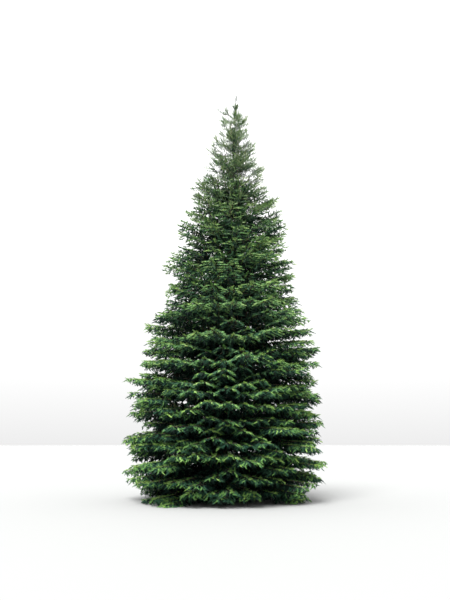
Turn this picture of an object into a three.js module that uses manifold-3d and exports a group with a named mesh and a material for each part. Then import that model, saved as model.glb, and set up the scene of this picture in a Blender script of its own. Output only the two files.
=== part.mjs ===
// A spruce grown in the open: one straight trunk, whorls of boughs, and foliage down to the ground.
// Millimetres and degrees, +Z up. The origin is the middle of the trunk's flat cut at ground level.
import * as THREE from "three";
import { mergeVertices } from "three/addons/utils/BufferGeometryUtils.js";
import Module from "manifold-3d";

const wasm = await Module();
wasm.setup();

// Driving dimensions. A pair gives the value at the ground and at the tip, unless it says otherwise.

// Crown
const HEIGHT = 12000; // ground to the tip of the leader
const CROWN_REACH = 3000; // the crown's radius where it is widest
const CROWN_BULGE = 1.55; // power of the crown's outline: 1 is a straight cone
const CROWN_BIAS = 0.05; // share by which it reaches further to +X, halfway up
const SKIRT_HEIGHT = 2400; // below this the crown draws in towards the ground
const SKIRT_TUCK = 0.25; // share of its reach that the crown has lost at the ground
const LEAN = 430; // how far the tip stands to +X of the foot
const LEAN_POWER = 1.25;
const SWEEP = 45; // depth of the trunk's slow bend in Y

// Trunk
const BUTT_RADIUS = 150; // at the ground, without the flare
const TRUNK_TAPER = 0.82;
const TRUNK_TIP_RADIUS = 9;
const TRUNK_NECK = 60; // from the trunk's tip up to the lower whorl of the top
const FLARE_RADIUS = 95; // what the root flare adds at the ground
const FLARE_HEIGHT = 230;
const FLARE_LOBES = 5;
const FLARE_LOBE_DEPTH = 0.45;
const TRUNK_SIDES = 15;
const TRUNK_RINGS = 12;
const RING_CROWDING = 1.7; // above 1, the rings stand closer together near the ground

// Whorls, taken in pairs as tiers; a tier's masses share the circle, and each has fans in both whorls
const FIRST_WHORL = 480; // height of the lowest
const WHORL_GAP = 625; // between the lowest two
const WHORL_GAP_LOSS = 9.5; // by which each gap is shorter than the last
const MASSES_IN_TIER = [6, 6, 5, 5, 4, 4, 3, 3, 3, 2];
const LOWER_FANS = [3, 3, 3, 3, 3, 3, 4, 4, 3, 3]; // of one mass in its lower whorl
const UPPER_FANS = [2, 2, 2, 2, 3, 3, 3, 3, 3, 3]; // and in its upper one
const BOUGH_TIERS = 3; // tiers low enough to stand on boughs
const TIER_TURN = 137.5; // from one tier to the next
const CROWN_SEED = 8540; // of the masses' own numbers
const HEIGHT_SPREAD = [360, 160]; // how unevenly the fans of a whorl stand
const LEAST_REACH = [0.9, 0.8]; // of the reach that the outline allows
const MOST_REACH = [1.06, 1.16];
const SWELL = [125, 85]; // how far the whorls rise and dip on their way round the trunk, in two rows of waves
const SWELL_WAVES = [4, 7];
const SWELL_TURN = [0.6, 2.1];

// The way boughs grow
const ELEVATION = [-2, 56]; // above the level
const ELEVATION_POWER = 2.2;
const SAG = [-0.03, 0.05]; // below a straight line to the tip, of the reach: low boughs arch above it
const DROOP = [20, -34]; // of the side sprays, below the level
const DROOP_POWER = 2.4;
const MOST_HANG = 300; // a side spray hangs no lower than this under its twig

// Boughs, and the stems and cores of the masses
const BOUGH_SHARE = 0.3; // of the reach, from the axis to where a bough enters its mass
const BOUGH_RADIUS = [34, 23]; // at the trunk and where it enters its mass
const BOUGH_SIDES = 5;
const BOUGH_RINGS = 2;
const STEM_LENGTH = [50, 150]; // from the bough or trunk to the core, in the narrowest mass and the widest
const STEM_RADIUS = [8, 21]; // in the narrowest mass and the widest
const STEM_SIDES = 6;
const CORE_END = 0.57; // of the reach
const CORE_FILL = 0.75; // of the width of the mass's sector
const CORE_ABOVE = 70; // how far it rises above the upper whorl
const CORE_BELOW = 0.7; // how far it hangs below the lower one, of the gap between them
const CORE_PROFILE = [[0, 0], [0.15, 0.9], [1, 0.55]]; // places along the core, and how full it is there
const KNOT_PLACE = 0.4; // where along the core its twigs part
const SEAT_GAP = 0.3; // between two solids that meet

// Fans: a twig with side sprays
const SPRAY_ANGLE = 54; // between a side spray and the twig that bears it
const SPRAY_SPACING = 350;
const SPRAY_PAIRS = [2, 5]; // fewest and most on a twig
const SPRAY_SHARE = [0.27, 0.38]; // longest side spray, of its twig's length
const SPRAY_SPREAD = [0.8, 1.1]; // least and most of that length
const SPRAY_FADE = 2.5; // power by which the sprays shorten towards the twig's tip
const SPRAY_FOOT = 0.4; // where a spray stands between the two sections that it joins
const SHORTEST_SPRAY = 50; // a spray with room for less is left out
const FIRST_SPRAY = 0.2; // where the sprays begin along a twig
const SWING_SHARE = 0.45; // of a twig, over which it swings out to its own slot of the crown
const SPACE_MARGIN = 22; // kept clear on each side of a fan's slot
const TWIG_HALF = 0.014; // half the width of a twig with its needles, of its length
const KEEL = [170, 20]; // how deep the foliage hangs under a twig
const TWIG_END = [0.5, 0.3]; // width and keel near a twig's tip, of those at its root
const ROOT_HALF = 9; // half the width of a twig where it is sunk in its core
const LOWEST = 12; // nothing but the trunk comes nearer the ground
const LOWEST_TWIG = 60;

// Top, on a stem of its own above the trunk's tip
const TOP_FANS = [4, 3]; // in its lower whorl and its upper one
const TOP_REACH = 0.75; // of the reach that the outline allows
const LEADER_SHARE = 0.55; // of that stem, left bare above its upper whorl
const LEADER_RADIUS = [15, 6]; // with its needles, at its foot and at its tip
const TOP_SEED = 20000;

const BARK = new THREE.MeshStandardMaterial({ color: 0x5d4c40, roughness: 0.95, metalness: 0 });
const NEEDLES = new THREE.MeshStandardMaterial({ color: 0x2c4f24, roughness: 0.75, metalness: 0 });

const WELD = 0.001; // points nearer than this are one
const HEADING_STEP = 0.01; // of a twig's length, to tell which way it runs
const FITTING_STEP = 0.92; // a spray without room is shortened by this again and again
const UP = new THREE.Vector3(0, 0, 1);
const lerp = THREE.MathUtils.lerp;
const rad = THREE.MathUtils.degToRad;
const slopeOf = (degrees) => Math.tan(rad(degrees));
const inHeight = (pair, z, power = 1) => lerp(...pair, (z / HEIGHT) ** power);

// The same numbers for the same seed every time.
function seeded(seed) {
  let state = 7919 * seed + 17;
  const next = () => {
    state = (state * 16807) % 2147483647;
    return state / 2147483647;
  };
  next();
  return next;
}

// A point at a distance and an azimuth round an axis, at one height.
function polar(axis, r, azimuth, z) {
  return new THREE.Vector3(axis.x + r * Math.cos(azimuth), axis.y + r * Math.sin(azimuth), z);
}

function axisAt(z) {
  const t = THREE.MathUtils.clamp(z / HEIGHT, 0, 1);
  return new THREE.Vector3(LEAN * t ** LEAN_POWER, SWEEP * Math.sin(Math.PI * t), z);
}

function crownRadius(z) {
  const t = THREE.MathUtils.clamp(z / HEIGHT, 0, 1);
  const tuck = SKIRT_TUCK * Math.max(0, 1 - z / SKIRT_HEIGHT) ** 2;
  return CROWN_REACH * (1 - t ** CROWN_BULGE) * (1 - tuck);
}

const whorlHeight = (i) => FIRST_WHORL + WHORL_GAP * i - (WHORL_GAP_LOSS * i * (i - 1)) / 2;
const TOP_WHORL = whorlHeight(2 * MASSES_IN_TIER.length);
const TRUNK_TOP = TOP_WHORL - TRUNK_NECK;

// The same for every whorl, so that they rise and dip together and stay apart.
function swell(azimuth) {
  return SWELL.reduce((sum, size, i) => sum + size * Math.sin(SWELL_WAVES[i] * azimuth + SWELL_TURN[i]), 0);
}

function trunkRadius(z) {
  const left = Math.max(0, 1 - z / TRUNK_TOP) ** TRUNK_TAPER;
  return lerp(TRUNK_TIP_RADIUS, BUTT_RADIUS, left);
}

// How far a bough from this height has climbed at a distance from the trunk.
function rise(z, reach, r) {
  const slope = slopeOf(inHeight(ELEVATION, z, ELEVATION_POWER));
  return slope * r - inHeight(SAG, z) * reach * Math.sin((Math.PI * r) / reach);
}

// How far a bough from this height reaches before its tip meets the crown's outline.
function reachFrom(z) {
  let reach = crownRadius(z);
  for (let i = 0; i < 12; i++) reach = lerp(reach, crownRadius(z + rise(z, reach, reach)), 0.5);
  return reach;
}

function solidOf(positions, triangles) {
  const made = new THREE.BufferGeometry();
  made.setAttribute("position", new THREE.Float32BufferAttribute(positions.flatMap((p) => p.toArray()), 3));
  made.setIndex(triangles.flat());
  const welded = mergeVertices(made, WELD);
  return new wasm.Manifold(
    new wasm.Mesh({
      numProp: 3,
      vertProperties: welded.attributes.position.array,
      triVerts: new Uint32Array(welded.index.array),
    }),
  );
}

function geometryOf(solid) {
  const mesh = solid.getMesh();
  const geometry = new THREE.BufferGeometry();
  geometry.setAttribute("position", new THREE.BufferAttribute(mesh.vertProperties, 3));
  geometry.setIndex(new THREE.BufferAttribute(mesh.triVerts, 1));
  geometry.computeVertexNormals();
  return geometry;
}

// A closed limb through rings of points; each ring is an array of the same length.
function limb(rings) {
  const sides = rings[0].length;
  const triangles = [];
  for (let r = 0; r < rings.length - 1; r++) {
    for (let k = 0; k < sides; k++) {
      const a = r * sides + k;
      const b = r * sides + ((k + 1) % sides);
      triangles.push([a, b, b + sides], [a, b + sides, a + sides]);
    }
  }
  const last = (rings.length - 1) * sides;
  for (let k = 1; k < sides - 1; k++) {
    triangles.push([0, k + 1, k], [last, last + k, last + k + 1]);
  }
  return solidOf(rings.flat(), triangles);
}

// A ring that stands upright and looks along an azimuth.
function uprightRing(centre, azimuth, halfWidth, halfDepth, sides) {
  return Array.from({ length: sides }, (_, k) => {
    const a = (2 * Math.PI * k) / sides;
    const z = centre.z + halfDepth * Math.sin(a);
    return polar(centre, halfWidth * Math.cos(a), azimuth + Math.PI / 2, z);
  });
}

function levelRing(centre, radius, sides) {
  return Array.from({ length: sides }, (_, k) => polar(centre, radius, (2 * Math.PI * k) / sides, centre.z));
}

// The trunk, or a copy grown all round that cuts a clear seat in what stands on its bark.
function trunkSolid(grown) {
  const rings = Array.from({ length: TRUNK_RINGS + 1 }, (_, i) => {
    const z = TRUNK_TOP * (i / TRUNK_RINGS) ** RING_CROWDING;
    const flare = FLARE_RADIUS * Math.exp(-z / FLARE_HEIGHT);
    return Array.from({ length: TRUNK_SIDES }, (_, k) => {
      const a = (2 * Math.PI * k) / TRUNK_SIDES;
      const lobe = 1 + FLARE_LOBE_DEPTH * Math.cos(FLARE_LOBES * a);
      return polar(axisAt(z), trunkRadius(z) + flare * lobe + grown, a, z);
    });
  });
  return limb(rings);
}

// The fans of one whorl of a mass, each in its own slot of the sector.
function whorlFans(tier, place, layer, middle, random) {
  const turn = (2 * Math.PI) / MASSES_IN_TIER[tier];
  const height = whorlHeight(2 * tier + layer);
  const number = [LOWER_FANS, UPPER_FANS][layer][tier];
  const spread = [inHeight(LEAST_REACH, height), inHeight(MOST_REACH, height)];
  return Array.from({ length: number }, (_, f) => {
    const azimuth = middle + turn * ((f + 0.5) / number - 0.5);
    const bias = 1 + CROWN_BIAS * Math.sin((Math.PI * height) / HEIGHT) * Math.cos(azimuth);
    return {
      height: height + swell(azimuth) + inHeight(HEIGHT_SPREAD, height) * (random() - 0.5),
      azimuth,
      halfSlot: turn / number / 2,
      reach: bias * reachFrom(height) * lerp(...spread, random()),
      seed: 1000 * (tier + 1) + 100 * place + 10 * layer + f,
    };
  });
}

// Where a mass of a tier stands: its seat, its core, and its two whorls of fans.
function massPlan(tier, place) {
  const random = seeded(CROWN_SEED + 100 * (tier + 1) + place);
  const turn = (2 * Math.PI) / MASSES_IN_TIER[tier];
  const middle = rad(TIER_TURN * tier) + turn * (place + 0.5);
  const low = whorlHeight(2 * tier);
  const high = whorlHeight(2 * tier + 1);
  const bottom = low - CORE_BELOW * (high - low);
  const top = high + CORE_ABOVE;
  const level = (bottom + top) / 2;
  const reach = reachFrom(level);
  const size = reach / CROWN_REACH;
  const onBough = tier < BOUGH_TIERS;
  const footRadius = onBough ? BOUGH_SHARE * reach : trunkRadius(level);
  const coreRadius = footRadius + lerp(...STEM_LENGTH, size);
  return {
    axis: axisAt(level),
    middle,
    level,
    reach,
    onBough,
    seatRadius: onBough ? footRadius : footRadius / 2,
    coreRadius,
    knotRadius: lerp(coreRadius, CORE_END * reach, KNOT_PLACE),
    stemRadius: lerp(...STEM_RADIUS, size),
    coreDepth: (top - bottom) / 2,
    coreWidth: CORE_FILL * Math.sin(turn / 2),
    fans: [0, 1].flatMap((layer) => whorlFans(tier, place, layer, middle, random)),
  };
}

// A point on the line from the trunk that a mass's bough, stem and core follow.
function massPoint(plan, r) {
  const z = plan.level + rise(plan.level, plan.reach, r);
  return polar(plan.axis, r, plan.middle, Math.max(z, LOWEST_TWIG));
}

// The line of a fan's twig from the knot out to its tip.
function fanLine(plan, fan, s) {
  const r = lerp(plan.knotRadius, fan.reach, s);
  const swing = THREE.MathUtils.smoothstep(s, 0, SWING_SHARE);
  const azimuth = lerp(plan.middle, fan.azimuth, swing);
  const own = fan.height + rise(fan.height, fan.reach, r);
  const z = lerp(massPoint(plan, plan.knotRadius).z, own, swing);
  return polar(plan.axis, r, azimuth, Math.max(z, LOWEST_TWIG));
}

// How long a spray may be before it leaves its fan's slot of the crown.
function roomFor(plan, fan, base, out, turn, wanted) {
  for (let size = wanted; size > SHORTEST_SPRAY; size *= FITTING_STEP) {
    const end = base.clone().addScaledVector(out, size).sub(plan.axis);
    const off = Math.atan2(end.y, end.x) - fan.azimuth;
    const turned = turn * Math.atan2(Math.sin(off), Math.cos(off));
    const clear = Math.hypot(end.x, end.y) * Math.sin(fan.halfSlot - turned);
    if (turned < fan.halfSlot && clear > SPACE_MARGIN) return size;
  }
  return 0;
}

// Which way a twig runs at a place, and the level direction to its left.
function heading(line, s) {
  const along = line(s + HEADING_STEP).sub(line(s - HEADING_STEP)).setZ(0).normalize();
  return { along, side: new THREE.Vector3(-along.y, along.x, 0) };
}

// The end of a side spray, to the left for a turn of 1 and to the right for -1.
function sprayEnd(plan, fan, line, length, s, turn, random) {
  const { along, side } = heading(line, s);
  const out = along.multiplyScalar(Math.cos(rad(SPRAY_ANGLE)));
  out.addScaledVector(side, turn * Math.sin(rad(SPRAY_ANGLE)));
  const longest = inHeight(SPRAY_SHARE, fan.height) * length * (1 - s ** SPRAY_FADE);
  const size = roomFor(plan, fan, line(s), out, turn, longest * lerp(...SPRAY_SPREAD, random()));
  if (size === 0) return null;
  const hang = Math.min(size * slopeOf(inHeight(DROOP, fan.height, DROOP_POWER)), MOST_HANG);
  const end = line(s).addScaledVector(out, size);
  return end.setZ(Math.max(end.z - hang, LOWEST));
}

// One twig with a row of sprays on each side, as one closed toothed blade that is deepest along its twig.
function fanSolid(plan, fan) {
  const random = seeded(fan.seed);
  const line = (s) => fanLine(plan, fan, s);
  const length = line(0).distanceTo(line(1));
  const pairs = THREE.MathUtils.clamp(Math.round(length / SPRAY_SPACING), ...SPRAY_PAIRS);
  const positions = [];
  const triangles = [];
  const add = (p) => positions.push(p) - 1;
  // Faces are wound for the left side, and those on the right are their mirror.
  const face = (turn, a, b, c) => triangles.push(turn > 0 ? [a, b, c] : [a, c, b]);
  const section = (s, half, keel) => {
    const flank = (turn) => {
      const point = line(s).addScaledVector(heading(line, s).side, turn * half);
      return add(point.setZ(Math.max(point.z - keel, LOWEST)));
    };
    return { s, top: add(line(s).addScaledVector(UP, half)), left: flank(1), right: flank(-1) };
  };
  // The side of the blade between two sections, drawn out to the end of a spray if there is one.
  const flankFaces = (a, b, turn, end) => {
    const [aside, bside] = turn > 0 ? [a.left, b.left] : [a.right, b.right];
    if (end === null) {
      face(turn, a.top, b.top, bside);
      face(turn, a.top, bside, aside);
      return;
    }
    const p = add(end);
    face(turn, a.top, b.top, p);
    face(turn, a.top, p, aside);
    face(turn, b.top, bside, p);
    face(turn, aside, p, bside);
  };
  const root = section(0, ROOT_HALF, ROOT_HALF);
  const sections = Array.from({ length: pairs }, (_, i) => {
    const s = lerp(FIRST_SPRAY, 1, i / pairs);
    const half = TWIG_HALF * length * lerp(1, TWIG_END[0], s);
    return section(s, half, inHeight(KEEL, fan.height) * lerp(1, TWIG_END[1], s));
  });
  const point = add(line(1));
  sections.push({ s: 1, top: point, left: point, right: point });
  triangles.push([root.top, root.left, root.right]);
  [root, ...sections].slice(0, -1).forEach((a, i) => {
    const b = sections[i];
    triangles.push([a.left, b.left, b.right], [a.left, b.right, a.right]);
    for (const turn of [1, -1]) {
      const s = lerp(a.s, b.s, SPRAY_FOOT);
      const end = i > 0 ? sprayEnd(plan, fan, line, length, s, turn, random) : null;
      flankFaces(a, b, turn, end);
    }
  });
  return solidOf(positions, triangles.filter(([a, b, c]) => a !== b && b !== c && c !== a));
}

// The stem that a mass grows from, and the dense core that its twigs part in.
function coreSolid(plan) {
  const thick = plan.stemRadius;
  const stem = uprightRing(massPoint(plan, plan.seatRadius), plan.middle, thick, thick, STEM_SIDES);
  const coreRing = ([place, fullness]) => {
    const r = lerp(plan.coreRadius, CORE_END * plan.reach, place);
    const width = Math.max(fullness * plan.coreWidth * r, thick);
    const depth = Math.max(fullness * plan.coreDepth, thick);
    const ring = uprightRing(massPoint(plan, r), plan.middle, width, depth, STEM_SIDES);
    return ring.map((p) => p.setZ(Math.max(p.z, LOWEST)));
  };
  return limb([stem, ...CORE_PROFILE.map(coreRing)]);
}

function massSolid(plan) {
  const core = plan.onBough ? coreSolid(plan) : coreSolid(plan).subtract(SEAT_CUTTER);
  return wasm.Manifold.union([core, ...plan.fans.map((fan) => fanSolid(plan, fan))]);
}

// The limb from the trunk's bark to the seat of its mass.
function boughSolid(plan) {
  const inner = trunkRadius(plan.level) / 2;
  const rings = Array.from({ length: BOUGH_RINGS + 1 }, (_, i) => {
    const t = i / BOUGH_RINGS;
    const centre = massPoint(plan, lerp(inner, plan.seatRadius - SEAT_GAP, t));
    const radius = lerp(...BOUGH_RADIUS, t);
    return uprightRing(centre, plan.middle, radius, radius, BOUGH_SIDES);
  });
  return limb(rings).subtract(SEAT_CUTTER);
}

// One fan of the top, straight out from the stem.
function topFan(height, layer, f) {
  const number = TOP_FANS[layer];
  const azimuth = (2 * Math.PI * (f + layer / 2)) / number;
  const reach = TOP_REACH * reachFrom(height);
  const plan = { axis: axisAt(height), middle: azimuth, level: height, reach, knotRadius: 0 };
  const fan = { height, azimuth, halfSlot: Math.PI / number, reach, seed: TOP_SEED + 10 * layer + f };
  return fanSolid(plan, fan);
}

// The leader and the two whorls of shoots below it, on one stem that carries on from the trunk's tip.
function topSolid() {
  const [foot, tip] = LEADER_RADIUS;
  const whorls = [TOP_WHORL, lerp(TOP_WHORL, HEIGHT, 1 - LEADER_SHARE)];
  const stem = limb([
    levelRing(axisAt(TRUNK_TOP + SEAT_GAP), TRUNK_TIP_RADIUS, STEM_SIDES),
    levelRing(axisAt(TOP_WHORL - foot), TRUNK_TIP_RADIUS, STEM_SIDES),
    levelRing(axisAt(TOP_WHORL + foot), foot, STEM_SIDES),
    levelRing(axisAt(HEIGHT), tip, STEM_SIDES),
  ]);
  const fans = whorls.flatMap((height, layer) =>
    Array.from({ length: TOP_FANS[layer] }, (_, f) => topFan(height, layer, f)),
  );
  return wasm.Manifold.union([stem, ...fans]);
}

const SEAT_CUTTER = trunkSolid(SEAT_GAP / Math.cos(Math.PI / TRUNK_SIDES));

const tree = new THREE.Group();
function place(name, solid, material) {
  const mesh = new THREE.Mesh(geometryOf(solid), material);
  mesh.name = name;
  tree.add(mesh);
}

place("trunk", trunkSolid(0), BARK);
MASSES_IN_TIER.forEach((count, tier) => {
  for (let i = 0; i < count; i++) {
    const plan = massPlan(tier, i);
    if (plan.onBough) place(`bough_${tier + 1}_${i + 1}`, boughSolid(plan), BARK);
    place(`foliage_${tier + 1}_${i + 1}`, massSolid(plan), NEEDLES);
  }
});
place("foliage_top", topSolid(), NEEDLES);

export default tree;
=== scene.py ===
import math

import bpy
import numpy as np
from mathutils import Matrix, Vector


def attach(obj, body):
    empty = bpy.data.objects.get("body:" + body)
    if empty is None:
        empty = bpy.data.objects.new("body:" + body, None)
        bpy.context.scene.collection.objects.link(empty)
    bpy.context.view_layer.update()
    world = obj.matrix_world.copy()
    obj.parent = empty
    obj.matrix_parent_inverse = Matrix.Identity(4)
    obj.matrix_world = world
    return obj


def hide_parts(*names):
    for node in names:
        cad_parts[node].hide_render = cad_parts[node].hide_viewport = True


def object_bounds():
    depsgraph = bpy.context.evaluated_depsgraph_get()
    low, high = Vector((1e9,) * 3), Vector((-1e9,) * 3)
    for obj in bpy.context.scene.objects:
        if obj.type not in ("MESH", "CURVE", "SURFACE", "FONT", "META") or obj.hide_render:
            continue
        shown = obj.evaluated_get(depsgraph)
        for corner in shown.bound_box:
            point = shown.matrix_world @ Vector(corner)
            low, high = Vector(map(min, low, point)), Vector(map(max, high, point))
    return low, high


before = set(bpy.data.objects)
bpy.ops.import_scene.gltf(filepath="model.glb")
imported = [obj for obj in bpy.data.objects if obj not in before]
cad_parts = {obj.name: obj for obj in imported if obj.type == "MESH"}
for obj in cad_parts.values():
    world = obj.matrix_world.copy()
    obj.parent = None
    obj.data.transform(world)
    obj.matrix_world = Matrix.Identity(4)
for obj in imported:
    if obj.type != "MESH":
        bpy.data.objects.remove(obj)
CAD_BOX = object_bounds()

# A spruce grown round its solids, in millimetres and degrees. The first functions repeat the source's
# rule for the crown, and the others carry each of its twigs on to finer ones with needles.
# A pair gives the value at the ground and at the tip of the tree, unless it says otherwise.
MM = 0.001
UP = np.array([0.0, 0.0, 1.0])

# Crown
HEIGHT = 12000  # ground to the tip of the leader
CROWN_REACH = 3000  # where the crown is widest
CROWN_BULGE = 1.55  # power of its outline: 1 is a cone
CROWN_BIAS = 0.05  # how much further it reaches to +X, halfway up
SKIRT_HEIGHT = 2400  # below this the crown draws in
SKIRT_TUCK = 0.25  # share of its reach that is lost at the ground
LEAN = 430  # of the tip, to +X
LEAN_POWER = 1.25
SWEEP = 45  # of the trunk's slow bend, to +Y

# Trunk
BUTT_RADIUS = 150  # at the ground, without the flare
TRUNK_TAPER = 0.82
TRUNK_TIP_RADIUS = 9
TRUNK_NECK = 60  # from the trunk's tip up to the top's lower whorl
FLARE_RADIUS = 95  # what the root flare adds at the ground
FLARE_HEIGHT = 230
FLARE_LOBES = 5
FLARE_LOBE_DEPTH = 0.45

# Whorls, two to a tier; a tier's masses share the circle, and each has fans in both whorls
FIRST_WHORL = 480  # height of the lowest
WHORL_GAP = 625  # between the lowest two
WHORL_GAP_LOSS = 9.5  # by which each gap is shorter than the last
MASSES_IN_TIER = [6, 6, 5, 5, 4, 4, 3, 3, 3, 2]
LOWER_FANS = [3, 3, 3, 3, 3, 3, 4, 4, 3, 3]  # of one mass in its lower whorl
UPPER_FANS = [2, 2, 2, 2, 3, 3, 3, 3, 3, 3]  # and in its upper one
BOUGH_TIERS = 3  # tiers low enough to stand on boughs
TIER_TURN = 137.5  # from one tier to the next
CROWN_SEED = 8540  # of the masses' own numbers
CROWN_SEED_STEP = 100  # from one tier to the next
HEIGHT_SPREAD = [360, 160]  # how unevenly the fans of a whorl stand
LEAST_REACH = [0.9, 0.8]  # of the reach that the outline allows
MOST_REACH = [1.06, 1.16]
SWELL = [125, 85]  # how far whorls rise and dip, in two rows of waves
SWELL_WAVES = [4, 7]
SWELL_TURN = [0.6, 2.1]  # radians

# The way boughs grow
ELEVATION = [-2, 56]  # above the level
ELEVATION_POWER = 2.2
SAG = [-0.03, 0.05]  # below a straight line to the tip, of the reach
DROOP = [20, -34]  # of the side sprays, below the level
DROOP_POWER = 2.4
MOST_HANG = 300  # a side spray hangs no lower than this under its twig

# Limbs and cores of the masses
BOUGH_SHARE = 0.3  # of the reach, from the axis to where a bough enters its mass
STEM_LENGTH = [50, 150]  # to the core, in the narrowest mass and the widest
STEM_RADIUS = [8, 21]  # in the narrowest mass and the widest
CORE_END = 0.57  # of the reach
CORE_ABOVE = 70  # above the upper whorl
CORE_BELOW = 0.7  # below the lower one, of the gap between them
KNOT_PLACE = 0.4  # where along the core its twigs part

# Fans: a twig with side sprays
SPRAY_ANGLE = 54  # between a side spray and the twig that bears it
SPRAY_SHARE = [0.27, 0.38]  # longest side spray, of its twig's length
SPRAY_SPREAD = [0.8, 1.1]  # least and most of that length
SPRAY_FADE = 2.5  # power by which they shorten to the twig's tip
SWING_SHARE = 0.45  # of a twig, over which it swings out to its own slot
LOWEST_TWIG = 60

# Top, on a stem of its own above the trunk's tip
TOP_FANS = [4, 3]  # in its lower whorl and its upper one
TOP_REACH = 0.75  # of the reach that the outline allows
LEADER_SHARE = 0.55  # of that stem, left bare above its upper whorl

# Steps
HEADING_STEP = 0.01  # of a twig's length, to tell which way it runs
FITTING_STEP = 0.92  # a spray without room is shortened by this again and again
FITTING_ROUNDS = 30
REACH_ROUNDS = 12  # until a limb's reach settles on the outline
LEAST_WAY = 0.01  # to X or Y, for a way's distance from an edge
LEAST_SIDE = 1e-3  # a way with less of a side is upright
LEAST_LENGTH = 1e-9
SEED_STEP = 7919
SEED_START = 17
NUMBER_STEP = 16807
NUMBER_RANGE = 2147483647

# Kinds of shoot, each with its own needles and spacing
RIM, MIDDLE, INSIDE, HANGING, SLIM = range(5)
NEEDLES_ON = [9, 7, 5, 7, 9]  # of each kind in that order
SCALE_OF = [1.0, 1.3, 2.5, 1.35, 0.6]  # size of the needles
SPACING_OF = np.array([1.0, 1.2, 2.1, 1.0, 0.66])
LENGTH_OF = np.array([1.0, 1.0, 1.7, 1.0, 1.6])  # length of the shoots
RIM_START = [0.4, 0.75]  # along a twig, in the light and in the shade
SLIM_HEIGHT = 8200  # above this all shoots are slim
SLIM_BLEND = 1200  # up and down from there both kinds are mixed
SLIM_INSIDE = 600  # so much further up inside the crown

# Bands of height, each with its own greens and twigs
BANDS = [3, 6, 10]  # tiers below which each band ends
BAND_HEIGHTS = [3500, 7900]  # between the greens of two bands
BAND_BLEND = 1300  # up and down from there both greens are mixed

# Forks: the twigs that a fan parts into
FORK_WIDTH = 560  # of the slot that each fills at its tip
FORK_REACH = [0.9, 1.0]  # least and most, of the fan's reach
FORK_SPREAD = 95  # how unevenly they stand
EDGE_MARGIN = 20  # from a twig's tip to the solids' box
LEADER_ALONE = 10400  # above this twigs keep to the crown's cone
CONE_MARGIN = -20
CONE_POWER = 0.8  # below 1, part of what stands out is left
MASS_SEED = 1000
TIER_SEED = 50  # from one tier to the next
TOP_SEED = 77
SHARED_SEED = 11  # of what is drawn for the whole tree together

# Twigs between the whorls, a little shorter than those in them, and painted darker as shade
BETWEEN_LAYERS = [0.5, 1.5]  # places between the whorls of a tier
LOWEST_LAYER = -0.45  # one more in the lowest tier
FULL_TIERS = 6  # tiers with as many as in a lower whorl
BETWEEN_FEW = 2  # fans above those
BETWEEN_REACH = 0.96  # of the reach of the others
BETWEEN_SPREAD = 60  # how unevenly they stand
LOWEST_FAN = 180
SHADE_HEIGHTS = [0, 6500, HEIGHT]
SHADE_BETWEEN = [0.11, 0.26, 0.13]  # how much darker they are painted there, as painted shade
SHADED = 0.1  # from here on a twig counts as shaded

# Twigs
TWIG_POINTS = 8
TWIG_RADIUS = [13, 2.2]  # at a twig's root and at its tip
TWIG_TAPER = 0.8
FULL_TWIG = 1500  # a shorter twig is thinner
TWIG_THINNING = 0.7  # power of its length by which it is
STEM_POINTS = 7
STEM_TAPER = [1.3, 0.7]  # at the root of a stem and at its knot
LIMB_ROOT = 0.5  # where a limb begins, of the trunk's radius
TWIG_SIDES = 4

# Side sprays
FINE_SPACING = [186, 232.5]  # between sprays on one side of a twig
FINE_SHADED = 1.15  # wider by this in the shade
FINE_FEWEST = 3
FINE_STAGGER = 0.25  # left against right, of the spacing
FINE_UNEVEN = 0.2  # of the spacing, by chance
FINE_CROWDING = 0.75  # below 1, they stand closer near the twig's tip
FINE_START = 0.1  # where they begin along it
FINE_END = [0.97, 0.9]
FINE_MARGIN = -60  # a spray may pass the edge of its slot by this
FINE_WIDEST = 1.5  # radians; an edge further round counts as there
SHORTEST_FINE = 55
LONGEST_FINE = 620
LEAST_SHARE = 0.07  # of a twig's length, for the sprays near its tip
FINE_TURN = 8  # how uneven a spray's angle is
FINE_HANG = [0.8, 1.1]  # least and most of the droop
HANG_POWER = 2.4  # a spray runs level at first and then hangs
SPRAY_PLACES = [0.0, 0.5, 1.0]  # of the points along a spray
SPRAY_RADIUS = [4.0, 1.2]  # at a spray's root and at its tip
SPRAY_FULL = 400  # length of a spray of that thickness
SPRAY_THICKNESS = [0.5, 1.2]  # least and most of it, on short and long ones
SPRAY_THICKENING = [1.0, 1.9]
SPRAY_SIDES = 3
FINE_LOWEST = 6

# Shoots on the side sprays
SHOOT_SPACING = 118
SHOOT_CROWDING = 1.8  # left and right together
SHOOT_FEWEST = 2
LONE_SHOOT = 110  # a shorter spray bears one shoot
SHOOT_FIRST = 0.6  # place of the first, of the spacing
SHOOT_UNEVEN = 0.3
SHOOT_PLACES = [0.04, 0.97]  # none stands outside these
SHOOT_ANGLE = 46  # between a shoot and its spray
SHOOT_TURN = 10  # how uneven that angle is
SHOOT_LIFT = [-0.5, 0.95]  # low shoots hang and high ones rise
SHOOT_LIFT_POWER = 1.5
SHOOT_LIFT_SPREAD = [-0.25, 0.2]  # least and most
SHOOT_LENGTH = [190, 120]  # at a spray's root and at its tip
SHOOT_SHORTENING = [1.0, 0.6]
SHOOT_SPREAD = [0.75, 1.15]  # least and most of that length
SHOOT_LIMIT = [60, 0.45]  # a shoot is no longer than the first plus this share of its spray
SHOOT_MARGIN = 25  # how far a shoot may pass the solids' box
SPRAY_ENDS = [[0.25, 0.66], [0.6, 1.12]]  # root and tip of the shoots along a spray's end
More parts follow.
